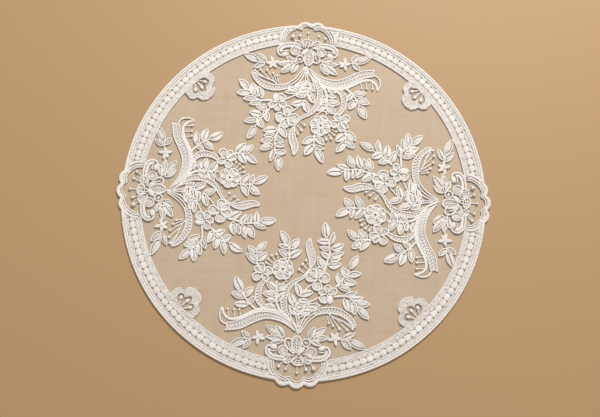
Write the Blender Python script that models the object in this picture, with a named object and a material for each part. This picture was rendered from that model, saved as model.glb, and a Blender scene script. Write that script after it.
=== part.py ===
"""Round lace doily: a sheer net ground with a corded rim, four scalloped medallions,
four flower sprays and four small rosettes worked in raised thread.

The tables give plan positions in millimetres for the front motif, whose medallion
points along -Y; the other three motifs are the same tables turned by 90 degrees.
"""
import math

import bmesh
import bpy
from mathutils import Matrix, Vector
from mathutils.geometry import delaunay_2d_cdt

MM = 0.001

# ---- driving dimensions -------------------------------------------------
RIM_RADIUS = 170.0          # outer edge of the rim band
RIM_WIDTH = 18.0            # rim band, edge cord to inner cord
GROUND_INSET = 0.5          # the embroidered edge stands proud of the net by this much
GROUND_THICK = 1.0          # net ground
GAP = 0.3                   # clear space between neighbouring pieces
RELIEF = 1.2                # height of the raised thread work

MEDALLION_HALF_ANGLE = 9.6  # degrees either side of the medallion's axis
LOBE_SPACING = 12.0         # across, from one scallop to the next
LOBE_RADIUS = 8.0
LOBE_FALL = 0.0146          # how fast the scallops fall away from the axis, per mm
LOBES_EACH_SIDE = 2         # scallops tried either side of the middle one
LOBE_LIMIT = 1.6            # scallops centred farther out than this many spacings are left out
MEDALLION_TOP = 149.2       # inner end of the medallion's frame, from the centre
FRAME_WIDTH = 6.6           # thread border between the scallops and the open window
WINDOW_HALF = 20.0          # window, across
WINDOW_TOP = 152.0          # inner end of the window, from the centre

RIM_STEPS = 12              # facets of the ground between two medallions
BAND_STEPS = 13
ROUND_SIDES = 10            # facets of a flower, petal or rosette lobe
WINDOW_SIDES = 7
EDGE_STEPS = 18             # facets of a medallion's scalloped edge

THREAD_COLOUR = (0.90, 0.86, 0.80, 1.0)
NET_COLOUR = (0.72, 0.62, 0.52, 1.0)

BASE_Z = GROUND_THICK + GAP
TOP_Z = BASE_Z + RELIEF

# Rim band section: distance in from the rim, height as a share of the relief.
BAND_SECTION = [
    {"inward": 0.0, "height": 0.70},
    {"inward": 4.8, "height": 1.00},
    {"inward": 5.8, "height": 0.60},
    {"inward": 8.4, "height": 0.95},
    {"inward": 12.6, "height": 0.60},
    {"inward": RIM_WIDTH, "height": 0.95},
]

# The four medallions differ a little: where the middle scallop sits and how far it reaches.
SCALLOPS = [
    {"name": "front", "quarter": 0, "shift": 0.0, "reach": 176.0},
    {"name": "right", "quarter": 1, "shift": 1.5, "reach": 174.8},
    {"name": "back", "quarter": 2, "shift": 6.0, "reach": 174.0},
    {"name": "left", "quarter": 3, "shift": 2.0, "reach": 174.6},
]

# Flower heart of the medallion.
HEART_PETALS = [
    {"x": 0.0, "y": -146.5, "rx": 12.5, "ry": 8.6},
    {"x": 0.0, "y": -135.6, "rx": 6.0, "ry": 6.0},
    {"x": -9.5, "y": -137.5, "rx": 5.6, "ry": 5.2},
    {"x": 9.5, "y": -137.0, "rx": 5.6, "ry": 5.2},
]

# C-shaped volute beside the heart, mirrored to the other side.
VOLUTE_PATH = [
    {"x": 11.0, "y": -149.6, "width": 3.4},
    {"x": 19.5, "y": -149.2, "width": 3.6},
    {"x": 25.4, "y": -147.2, "width": 3.6},
    {"x": 28.6, "y": -142.6, "width": 3.8},
    {"x": 26.8, "y": -138.2, "width": 3.6},
    {"x": 22.0, "y": -137.8, "width": 3.6},
    {"x": 19.6, "y": -141.4, "width": 3.2},
]

# Leaves and star flowers that run along the rim from the medallion.
RIM_LEAVES = [
    {"x0": -8.0, "y0": -135.5, "x1": -27.5, "y1": -122.0, "width": 8.6},
    {"x0": -9.0, "y0": -137.0, "x1": -28.0, "y1": -133.2, "width": 6.0},
    {"x0": -22.0, "y0": -134.0, "x1": -48.0, "y1": -134.2, "width": 3.4},
    {"x0": -36.0, "y0": -133.0, "x1": -37.6, "y1": -125.4, "width": 3.2},
    {"x0": -36.4, "y0": -132.6, "x1": -36.6, "y1": -139.6, "width": 3.2},
    {"x0": -43.0, "y0": -134.4, "x1": -51.5, "y1": -127.0, "width": 4.6},
    {"x0": -42.0, "y0": -134.0, "x1": -58.6, "y1": -138.2, "width": 5.6},
    {"x0": -42.0, "y0": -134.0, "x1": -48.5, "y1": -141.2, "width": 3.8},
    {"x0": 8.0, "y0": -135.0, "x1": 22.5, "y1": -121.8, "width": 8.6},
    {"x0": 9.0, "y0": -134.0, "x1": 27.0, "y1": -130.6, "width": 6.0},
    {"x0": 21.0, "y0": -130.8, "x1": 45.0, "y1": -130.4, "width": 3.4},
    {"x0": 33.0, "y0": -131.0, "x1": 30.0, "y1": -124.6, "width": 3.0},
    {"x0": 33.0, "y0": -130.0, "x1": 34.4, "y1": -137.4, "width": 3.2},
    {"x0": 39.0, "y0": -130.6, "x1": 50.5, "y1": -125.0, "width": 4.6},
    {"x0": 38.0, "y0": -130.2, "x1": 47.4, "y1": -138.4, "width": 4.8},
    {"x0": 38.0, "y0": -130.2, "x1": 59.2, "y1": -137.0, "width": 5.4},
]

# Scrolls and stems of the spray: centre line and width.
SCROLL_PATH = [
    {"x": 0.0, "y": -127.5, "width": 2.4},
    {"x": -6.0, "y": -119.5, "width": 4.0},
    {"x": -13.0, "y": -113.0, "width": 6.0},
    {"x": -20.5, "y": -110.0, "width": 7.4},
    {"x": -29.0, "y": -109.8, "width": 8.2},
    {"x": -38.0, "y": -113.0, "width": 8.6},
    {"x": -46.5, "y": -117.4, "width": 8.8},
    {"x": -55.0, "y": -120.2, "width": 8.6},
    {"x": -62.5, "y": -119.6, "width": 7.2},
    {"x": -68.0, "y": -115.4, "width": 4.6},
    {"x": -70.6, "y": -107.6, "width": 1.6},
]
SCROLL_TAIL_PATH = [
    {"x": -50.0, "y": -121.4, "width": 4.6},
    {"x": -65.6, "y": -124.8, "width": 2.2},
]
BERRY_SCROLL_PATH = [
    {"x": 0.0, "y": -127.0, "width": 2.0},
    {"x": 4.5, "y": -117.5, "width": 3.6},
    {"x": 11.5, "y": -110.4, "width": 5.2},
    {"x": 20.0, "y": -106.0, "width": 6.8},
    {"x": 29.0, "y": -104.2, "width": 7.6},
    {"x": 38.0, "y": -105.4, "width": 7.4},
    {"x": 45.4, "y": -109.6, "width": 5.8},
    {"x": 50.2, "y": -115.0, "width": 3.6},
    {"x": 52.4, "y": -119.8, "width": 1.4},
]
BERRY_STALK_PATH = [
    {"x": 26.0, "y": -107.0, "width": 2.6},
    {"x": 33.0, "y": -112.8, "width": 2.4},
    {"x": 41.0, "y": -115.0, "width": 2.4},
    {"x": 49.4, "y": -120.4, "width": 3.0},
]
LEFT_BAND_PATH = [
    {"x": -31.0, "y": -108.5, "width": 3.4},
    {"x": -37.4, "y": -98.0, "width": 5.4},
    {"x": -38.0, "y": -88.0, "width": 5.4},
    {"x": -33.6, "y": -79.5, "width": 3.4},
]
MAIN_STEM_PATH = [
    {"x": -1.0, "y": -123.0, "width": 3.6},
    {"x": -10.5, "y": -110.0, "width": 5.6},
    {"x": -15.6, "y": -99.0, "width": 6.4},
    {"x": -15.8, "y": -88.0, "width": 6.0},
    {"x": -10.6, "y": -80.0, "width": 5.0},
    {"x": -1.0, "y": -75.8, "width": 3.4},
    {"x": 8.0, "y": -74.0, "width": 2.6},
]
LONG_LEAF_PATH = [
    {"x": 9.4, "y": -68.0, "width": 3.6},
    {"x": 10.2, "y": -59.0, "width": 6.2},
    {"x": 8.4, "y": -50.5, "width": 6.4},
    {"x": 6.4, "y": -44.0, "width": 4.6},
    {"x": 7.2, "y": -38.8, "width": 0.8},
]
BRIDGE_PATH = [
    {"x": -9.0, "y": -111.0, "width": 4.0},
    {"x": 6.0, "y": -104.0, "width": 8.6},
    {"x": 16.0, "y": -99.5, "width": 6.0},
    {"x": 24.0, "y": -96.0, "width": 4.0},
]

FLOWERS = [
    {"x": -36.6, "y": -74.0, "radius": 7.6},
    {"x": -16.4, "y": -70.0, "radius": 10.0},
    {"x": 15.6, "y": -73.2, "radius": 10.2},
    {"x": 25.6, "y": -89.6, "radius": 9.2},
]

# Leaf sprigs: stem from base to tip, bowed sideways, with pairs of leaves.
SPRIGS = [
    {"x0": -41.0, "y0": -68.0, "x1": -34.0, "y1": -44.5, "bow": -2.5, "pairs": 2, "leaf_length": 11.0},
    {"x0": -12.5, "y0": -63.0, "x1": -19.6, "y1": -34.0, "bow": 2.2, "pairs": 2, "leaf_length": 11.0},
    {"x0": 22.0, "y0": -71.0, "x1": 20.6, "y1": -24.5, "bow": 4.5, "pairs": 4, "leaf_length": 12.0},
    {"x0": 32.0, "y0": -86.0, "x1": 51.0, "y1": -54.0, "bow": 4.0, "pairs": 3, "leaf_length": 11.0},
    {"x0": 33.0, "y0": -93.0, "x1": 62.0, "y1": -111.0, "bow": -6.5, "pairs": 2, "leaf_length": 12.5},
    {"x0": -37.0, "y0": -108.0, "x1": -59.6, "y1": -78.6, "bow": -3.0, "pairs": 2, "leaf_length": 12.0},
    {"x0": -7.0, "y0": -112.0, "x1": -3.0, "y1": -81.0, "bow": 2.0, "pairs": 2, "leaf_length": 11.0},
]

LEAF_WIDEST = 0.5                # where a leaf is widest, as a share of its length
LEAF_WIDTH = 0.46                # of the leaf's length
LEAF_SPREAD = math.radians(52.0)  # angle between a leaf and its stem
STEM_WIDTH = 1.8
STEM_PLACES = (0.0, 0.22, 0.42, 0.62, 0.78)
FIRST_PAIR = 0.22                # places of the leaf pairs along the stem
LAST_PAIR = 0.62
TIP_LEAF_FROM = 0.68             # the leaf at the end starts here along the stem
HEADING_STEP = 0.05              # the stem's direction is read this far either side of a place

PLAN_MERGE = 0.0001              # points of crossing outlines nearer than this are one
SMALL_EDGE = 0.3                 # outline corners nearer than this become one
SMALL_BEND = math.radians(5.0)   # outline corners flatter than this are left out
SHARP_BEND = math.radians(30.0)  # edges of the band's section sharper than this stay crisp
WHOLE_FACES = 1                  # the triangulation keeps only what the outlines hold

# Rosette: three round lobes against the rim, with a three-lobed window.
ROSETTE_LOBES = [
    {"x": 0.0, "y": -139.2, "radius": 8.4},
    {"x": -8.4, "y": -143.8, "radius": 7.0},
    {"x": 8.4, "y": -143.8, "radius": 7.0},
]
ROSETTE_WINDOW = [
    {"x": 0.0, "y": -142.8, "radius": 3.8},
    {"x": -4.9, "y": -146.0, "radius": 3.4},
    {"x": 4.9, "y": -146.0, "radius": 3.4},
]
ROSETTE_FLAT = {"half": 11.5, "top": -142.0, "foot": -151.0}


# ---- plan outlines, as lists of (x, y) in millimetres ---------------------
def ellipse(x, y, rx, ry, sides):
    """Closed outline of an ellipse."""
    turns = [2.0 * math.pi * i / sides for i in range(sides)]
    return [(x + rx * math.cos(t), y + ry * math.sin(t)) for t in turns]


def strip(path):
    """Closed outline of a strip that follows a path with its own width at each row."""
    left = []
    right = []
    for i, row in enumerate(path):
        ahead = path[min(i + 1, len(path) - 1)]
        behind = path[max(i - 1, 0)]
        along = Vector((ahead["x"] - behind["x"], ahead["y"] - behind["y"])).normalized()
        side = Vector((-along.y, along.x)) * row["width"] / 2
        left.append((row["x"] + side.x, row["y"] + side.y))
        right.append((row["x"] - side.x, row["y"] - side.y))
    return left + right[::-1]


def mirrored(path):
    """The same path on the other side of the motif's axis."""
    return [{**row, "x": -row["x"]} for row in path]


def leaf(x0, y0, x1, y1, width):
    """Pointed oval from its base to its tip."""
    base = Vector((x0, y0))
    run = Vector((x1, y1)) - base
    side = Vector((-run.y, run.x)).normalized() * width / 2
    middle = base + run * LEAF_WIDEST
    return [tuple(p) for p in (base, middle - side, base + run, middle + side)]


def sprig(x0, y0, x1, y1, bow, pairs, leaf_length):
    """Outlines of a stem, its pairs of leaves and the leaf at its tip."""
    base = Vector((x0, y0))
    run = Vector((x1, y1)) - base
    side = Vector((run.y, -run.x)).normalized()

    def on_stem(t):
        return base + run * t + side * bow * math.sin(math.pi * t)

    stem = [{"x": on_stem(t).x, "y": on_stem(t).y, "width": STEM_WIDTH}
            for t in STEM_PLACES]
    shapes = [strip(stem)]
    start = on_stem(TIP_LEAF_FROM)
    tip = base + run
    shapes.append(leaf(start.x, start.y, tip.x, tip.y, LEAF_WIDTH * leaf_length))
    for i in range(pairs):
        t = FIRST_PAIR + (LAST_PAIR - FIRST_PAIR) * i / max(pairs - 1, 1)
        foot = on_stem(t)
        heading = (on_stem(t + HEADING_STEP) - on_stem(t - HEADING_STEP)).normalized()
        for turn in (LEAF_SPREAD, -LEAF_SPREAD):
            out = Matrix.Rotation(turn, 2) @ heading
            end = foot + out * leaf_length
            shapes.append(leaf(foot.x, foot.y, end.x, end.y, LEAF_WIDTH * leaf_length))
    return shapes


def ray_to_circle(angle, x, y, radius):
    """How far a ray from the centre, at an angle from -Y, runs to leave a circle."""
    ray = Vector((math.sin(angle), -math.cos(angle)))
    centre = Vector((x, y))
    along = ray.dot(centre)
    inside = radius * radius - (centre.length_squared - along * along)
    return along + math.sqrt(inside) if inside > 0 else 0.0


def edge_radius(angle, scallop):
    """Outer edge of the doily near one medallion: the rim or the farthest scallop."""
    reach = RIM_RADIUS
    for count in range(-LOBES_EACH_SIDE, LOBES_EACH_SIDE + 1):
        x = count * LOBE_SPACING + scallop["shift"]
        if abs(x) > LOBE_LIMIT * LOBE_SPACING:
            continue
        y = -(scallop["reach"] - LOBE_FALL * x * x - LOBE_RADIUS)
        reach = max(reach, ray_to_circle(angle, x, y, LOBE_RADIUS))
    return reach


def turned(points, quarter):
    """Outline turned round the doily's centre by so many quarters."""
    turn = Matrix.Rotation(quarter * math.pi / 2, 2)
    return [tuple(turn @ Vector(p)) for p in points]


# ---- solids ---------------------------------------------------------------
def finish_material(name, colour, roughness):
    """Principled material of one kind of thread."""
    material = bpy.data.materials.new(name)
    material.use_nodes = True
    shader = material.node_tree.nodes["Principled BSDF"]
    shader.inputs["Base Color"].default_value = colour
    shader.inputs["Roughness"].default_value = roughness
    shader.inputs["Metallic"].default_value = 0.0
    material.diffuse_color = colour
    return material


def anticlockwise(points):
    """Outline in anticlockwise order."""
    area = sum(a[0] * b[1] - b[0] * a[1] for a, b in zip(points, points[1:] + points[:1]))
    return points if area > 0 else points[::-1]


def bend_at(vert):
    """Angle by which the outline turns at a corner with two edges."""
    one, other = [edge.other_vert(vert).co - vert.co for edge in vert.link_edges]
    return math.pi - one.angle(other)


def plan_mesh(shapes, windows, fills):
    """Flat mesh covering the shapes less the windows, plus the fills."""
    corners = []
    loops = []
    for outline in shapes + windows + fills:
        first = len(corners)
        corners += [Vector(p) for p in anticlockwise(outline)]
        loops.append(list(range(first, len(corners))))
    window_ids = set(range(len(shapes), len(shapes) + len(windows)))
    fill_ids = set(range(len(shapes) + len(windows), len(loops)))
    parts = delaunay_2d_cdt(corners, [], loops, WHOLE_FACES, PLAN_MERGE)
    points, _, faces, _, _, owners = parts
    flat = bmesh.new()
    made = [flat.verts.new((p.x * MM, p.y * MM, 0.0)) for p in points]
    for face, owner in zip(faces, owners):
        over = set(owner)
        if over & fill_ids or (over and not over & window_ids):
            flat.faces.new([made[i] for i in face])
    loose = [v for v in flat.verts if not v.link_faces]
    bmesh.ops.delete(flat, geom=loose, context="VERTS")
    bmesh.ops.dissolve_limit(flat, angle_limit=SMALL_BEND, verts=flat.verts, edges=flat.edges)
    bmesh.ops.remove_doubles(flat, verts=flat.verts, dist=SMALL_EDGE * MM)
    straight = [v for v in flat.verts if len(v.link_edges) == 2 and bend_at(v) < SMALL_BEND]
    bmesh.ops.dissolve_verts(flat, verts=straight)
    return flat


def plate(name, material, bottom, top, shapes, windows=(), fills=()):
    """Closed plate of the given plan between two heights."""
    mesh = plan_mesh(list(shapes), list(windows), list(fills))
    for vert in mesh.verts:
        vert.co.z = bottom * MM
    raised = bmesh.ops.extrude_face_region(mesh, geom=mesh.faces[:])
    lifted = [part for part in raised["geom"] if isinstance(part, bmesh.types.BMVert)]
    bmesh.ops.translate(mesh, verts=lifted, vec=(0.0, 0.0, (top - bottom) * MM))
    return add_object(name, mesh, material)


def add_object(name, mesh, material):
    """Object of its own from a closed bmesh."""
    bmesh.ops.triangulate(mesh, faces=mesh.faces[:])
    bmesh.ops.recalc_face_normals(mesh, faces=mesh.faces[:])
    data = bpy.data.meshes.new(name)
    mesh.to_mesh(data)
    mesh.free()
    data.materials.append(material)
    made = bpy.data.objects.new(name, data)
    bpy.context.scene.collection.objects.link(made)
    return made


def edge_angles():
    """Angles from a medallion's axis at which its scalloped edge has corners."""
    half = math.radians(MEDALLION_HALF_ANGLE)
    return [half * (2 * i / EDGE_STEPS - 1) for i in range(EDGE_STEPS + 1)]


def at_angle(angle, reach):
    """Point so far from the centre, at an angle from -Y."""
    return (reach * math.sin(angle), -reach * math.cos(angle))


def ground_outline():
    """Edge of the net ground, a little inside the embroidered edge."""
    points = []
    half = math.radians(MEDALLION_HALF_ANGLE)
    plain = (math.pi / 2 - 2 * half) / RIM_STEPS
    for scallop in SCALLOPS:
        part = [at_angle(a, edge_radius(a, scallop) - GROUND_INSET) for a in edge_angles()]
        part += [at_angle(half + plain * i, RIM_RADIUS - GROUND_INSET) for i in range(1, RIM_STEPS)]
        points += turned(part, scallop["quarter"])
    return points


def make_ground(material):
    """Sheer net ground, one flat sheet."""
    return plate("ground", material, 0.0, GROUND_THICK, [ground_outline()])


def make_band(name, quarter, material):
    """Rim band between two medallions: its ridged section swept along the rim."""
    mesh = bmesh.new()
    half = math.radians(MEDALLION_HALF_ANGLE) + GAP / (RIM_RADIUS - RIM_WIDTH)
    inner = RIM_RADIUS - RIM_WIDTH
    section = [(RIM_RADIUS - row["inward"], BASE_Z + RELIEF * row["height"]) for row in BAND_SECTION]
    section += [(inner, BASE_Z), (RIM_RADIUS, BASE_Z)]
    rings = []
    for i in range(BAND_STEPS + 1):
        sweep = half + (math.pi / 2 - 2 * half) * i / BAND_STEPS + quarter * math.pi / 2
        ring = [mesh.verts.new((r * math.sin(sweep) * MM, -r * math.cos(sweep) * MM, z * MM))
                for r, z in section]
        rings.append(ring)
    for near, far in zip(rings, rings[1:]):
        for j in range(len(section)):
            k = (j + 1) % len(section)
            mesh.faces.new((near[j], near[k], far[k], far[j]))
    mesh.faces.new(rings[0][::-1])
    mesh.faces.new(rings[-1])
    band = add_object(name, mesh, material)
    band.data.shade_smooth()
    band.data.set_sharp_from_angle(angle=SHARP_BEND)
    return band


def medallion_frame(scallop):
    """Outline of the medallion's frame: scalloped outside, straight across inside."""
    points = [at_angle(a, edge_radius(a, scallop)) for a in edge_angles()]
    across = MEDALLION_TOP * math.tan(math.radians(MEDALLION_HALF_ANGLE))
    return points + [(across, -MEDALLION_TOP), (-across, -MEDALLION_TOP)]


def medallion_window(scallop):
    """Window whose outer edge runs parallel to the scallops."""
    limit = math.atan(WINDOW_HALF / RIM_RADIUS)
    angles = [a for a in edge_angles() if abs(a) < limit]
    points = [at_angle(a, edge_radius(a, scallop) - FRAME_WIDTH) for a in angles]
    return points + [(WINDOW_HALF, -WINDOW_TOP), (-WINDOW_HALF, -WINDOW_TOP)]


def make_medallion(scallop, material):
    """Scalloped frame with its window, flower heart, volutes and leaves along the rim."""
    quarter = scallop["quarter"]
    frame = [medallion_frame(scallop)]
    windows = [medallion_window(scallop)]
    fills = [ellipse(p["x"], p["y"], p["rx"], p["ry"], ROUND_SIDES) for p in HEART_PETALS]
    fills += [strip(VOLUTE_PATH), strip(mirrored(VOLUTE_PATH))]
    fills += [leaf(**row) for row in RIM_LEAVES]
    parts = [[turned(outline, quarter) for outline in group] for group in (frame, windows, fills)]
    return plate("medallion_" + scallop["name"], material, BASE_Z, TOP_Z, *parts)


def make_spray(scallop, material):
    """Flower spray: scrolls, stems, flowers and leaf sprigs in one piece."""
    paths = (SCROLL_PATH, SCROLL_TAIL_PATH, BERRY_SCROLL_PATH, BERRY_STALK_PATH,
             LEFT_BAND_PATH, MAIN_STEM_PATH, LONG_LEAF_PATH, BRIDGE_PATH)
    shapes = [strip(path) for path in paths]
    shapes += [ellipse(f["x"], f["y"], f["radius"], f["radius"], ROUND_SIDES) for f in FLOWERS]
    for row in SPRIGS:
        shapes += sprig(**row)
    outlines = [turned(outline, scallop["quarter"]) for outline in shapes]
    return plate("spray_" + scallop["name"], material, BASE_Z, TOP_Z, outlines)


def make_rosette(name, quarter, material):
    """Small three-lobed rosette that stands against the rim, half way between medallions."""
    shapes = [ellipse(w["x"], w["y"], w["radius"], w["radius"], ROUND_SIDES) for w in ROSETTE_LOBES]
    half = ROSETTE_FLAT["half"]
    shapes.append([(-half, ROSETTE_FLAT["foot"]), (half, ROSETTE_FLAT["foot"]),
                   (half, ROSETTE_FLAT["top"]), (-half, ROSETTE_FLAT["top"])])
    windows = [ellipse(w["x"], w["y"], w["radius"], w["radius"], WINDOW_SIDES) for w in ROSETTE_WINDOW]
    parts = [[turned(outline, quarter + 0.5) for outline in group] for group in (shapes, windows)]
    return plate(name, material, BASE_Z, TOP_Z, *parts)


def build():
    for old in list(bpy.data.objects):
        bpy.data.objects.remove(old, do_unlink=True)
    thread = finish_material("thread", THREAD_COLOUR, 0.75)
    net = finish_material("net", NET_COLOUR, 0.85)
    make_ground(net)
    for scallop in SCALLOPS:
        quarter = scallop["quarter"]
        make_medallion(scallop, thread)
        make_spray(scallop, thread)
        make_band("band_" + str(quarter + 1), quarter, thread)
        make_rosette("rosette_" + str(quarter + 1), quarter, thread)


build()
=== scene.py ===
"""Round lace doily: sheer net with a corded, eyeleted rim, four scalloped medallions, four flower
sprays and four small rosettes in raised ivory thread.

The tables are millimetres in plan on the front motif, whose medallion points along -Y. The other
three motifs are the same tables turned by quarters, each a little uneven in its own way.
"""
import random
from collections import namedtuple
from math import dist, pi, radians, sin, sqrt

import bmesh
import bpy
import numpy as np
from mathutils import Matrix, Vector


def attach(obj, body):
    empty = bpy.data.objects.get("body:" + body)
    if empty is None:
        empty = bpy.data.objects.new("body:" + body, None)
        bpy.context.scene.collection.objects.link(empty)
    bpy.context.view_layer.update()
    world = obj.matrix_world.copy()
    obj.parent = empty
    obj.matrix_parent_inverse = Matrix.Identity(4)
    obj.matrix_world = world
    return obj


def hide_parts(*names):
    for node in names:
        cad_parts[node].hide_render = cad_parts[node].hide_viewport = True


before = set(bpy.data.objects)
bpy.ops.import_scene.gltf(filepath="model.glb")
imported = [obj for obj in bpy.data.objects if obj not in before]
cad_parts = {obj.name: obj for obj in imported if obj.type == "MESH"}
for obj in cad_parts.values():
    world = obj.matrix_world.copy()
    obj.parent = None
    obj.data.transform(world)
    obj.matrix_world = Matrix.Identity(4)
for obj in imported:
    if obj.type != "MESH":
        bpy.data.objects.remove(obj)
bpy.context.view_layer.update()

MM = 0.001


def table(columns, *rows):
    """Rows of values with named columns."""
    named = namedtuple("Row", columns)
    return [named(*row) for row in rows]


def mirrored(*half):
    """Points up to the middle one, and the same turned over beyond it."""
    return half + tuple((-x, y) for x, y in half[-2::-1])


# ---- sizes shared with the solids, in millimetres ----
RIM_RADIUS = 170.0
RIM_WIDTH = 18.0
GROUND_INSET = 0.5
HALF_ANGLE = radians(9.6)  # of a medallion
LOBE_SPACING = 12.0
LOBE_RADIUS = 8.0
LOBE_FALL = 0.0146
LOBES_EACH_SIDE = 2
LOBE_LIMIT = 1.6
# Shift and window set a medallion's scallops and what they frame off sideways. Foot and tips set
# its spray off next to the rim and at its far end.
MOTIFS = table(
    "name shift reach window foot tips",
    ("front", 0, 176, 0, (0, 0), (0, 0)),
    ("right", 1.5, 174.8, 0.7, (0.8, 0.9), (3, 3.4)),
    ("back", 6, 174, 2.6, (3.4, -1), (4.6, 0.4)),
    ("left", 2, 174.6, 0.4, (0.4, -0.5), (3, -1.3)))
SPRAY_FOOT = -140.0
SPRAY_TIPS = -30.0

# ---- heights and thread sizes, in millimetres ----
NET_LIFT = 0.45  # of its middle over the surface
NET_WAVE = 0.22  # how far it rises and falls
NET_THICK = 0.12
THREAD_BASE = 0.12  # underside of the thread work over that middle
RIM_BASE = -0.55  # the same for the rim, down on the surface
CORD = 1.3  # plain cord, across
FINE_CORD = 0.9
CORD_HEIGHT = 1.2
THREAD_UNEVEN = 0.06  # how far a cord swells and thins
STEP = 0.9  # between the rings of a cord
CORD_SIDES = 8
CORD_SQUARE = 0.65  # 1 for a round cord, less for a flatter top
THREAD_BEATS = (2.6, 1.7)  # its two swells, in radians per millimetre
EVEN_RING = 30.0  # longest closed cord that doesn't swell
END_LEAST = 0.06  # square of what is left of a cord's width at its end
END_HEIGHT = 0.35  # share of its height that doesn't shrink there
CURVE_PARTS = 12  # between two points of a line
FIRST_STITCH = 9.0  # within which a shape's stitches start
CREASE_POWER = 5.0  # how sharply shade keeps to the creases
HOLLOW_SHADE = 1.8  # how strongly hollows between bumps are shaded
SATIN_HEIGHT = 1.2

LEAF_STATIONS = np.array([0, 0.05, 0.13, 0.25, 0.38, 0.52, 0.66, 0.79, 0.9, 1])
LEAF_FADE = 0.12  # share of a leaf's length over which its ends sink
LEAF_FULLNESS = 1.22  # of the leaf's stated width
LEAF_EDGE = 1.2  # corded edge of a leaf, across
# Grooves of a leaf: beside the left edge, along the middle, beside the right edge.
LEAF_GROOVES = ((0.42, 0, 0.42), (-0.2, 0.6, -0.2), (0.62, 0, -0.2), (-0.2, 0, 0.62), (0.45, 0.45, -0.2))
LEAF_RIDGED = 1.3  # half width from which an undivided body is ridged
LEAF_SPLIT = 0.9  # half width from which a body may have a vein
BODY_LEAST = 0.15  # least half width of what fills a leaf or a petal
BRAID_PITCH = 1.4  # from one turn of the zigzag to the next
BRAID_THREAD = 1.0
RIDGE_PITCH = 1.35  # between the cords in a ringed ball

# Across a strip: place from -1 to 1, share of the full height.
SATIN_PROFILE = mirrored((-1, 0), (-0.98, 0.52), (-0.92, 0.8), (-0.74, 0.94), (-0.35, 1), (0, 1))
RIDGED_PROFILE = mirrored(
    (-1, 0), (-0.96, 0.7), (-0.7, 1), (-0.44, 0.86), (-0.34, 0.55), (-0.24, 0.86), (0, 1))
# A petal from foot to end: share of its length, share of its half width.
PETAL_OUTLINE = ((0, 0.16), (0.08, 0.34), (0.2, 0.58), (0.36, 0.82), (0.52, 0.96), (0.66, 1),
                 (0.79, 0.93), (0.9, 0.72), (0.965, 0.45), (1, 0))
PETAL_EDGE = 1.55  # corded edge of a petal, across
PETAL_FOOT = 0.9  # from the middle of the eye to the foot of a petal
PETAL_GROOVE = 0.12  # groove between the edge and the fill
PETAL_FILL = 0.6  # height of the fill
PETAL_RELIEF = 0.4  # height of its bumps, against a woven strip's
PETAL_SUNK = 0.3  # how far the fill is shaded
PETAL_SLIT = 0.45  # between the ribs of the fill
PETAL_NET = 1.0  # threads of a netted petal, across
PETAL_OVERLAP = 1.08  # of a flower petal's stated half width
# A pad from its edge to its middle: share of the way out, share of the full height.
PILLOW = ((0.97, 0.6), (0.88, 0.84), (0.7, 0.95), (0.4, 1))
DOME = ((0.95, 0.42), (0.8, 0.72), (0.58, 0.9), (0.3, 0.98))
BEAD_HEIGHT = 0.62  # of its width


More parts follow.
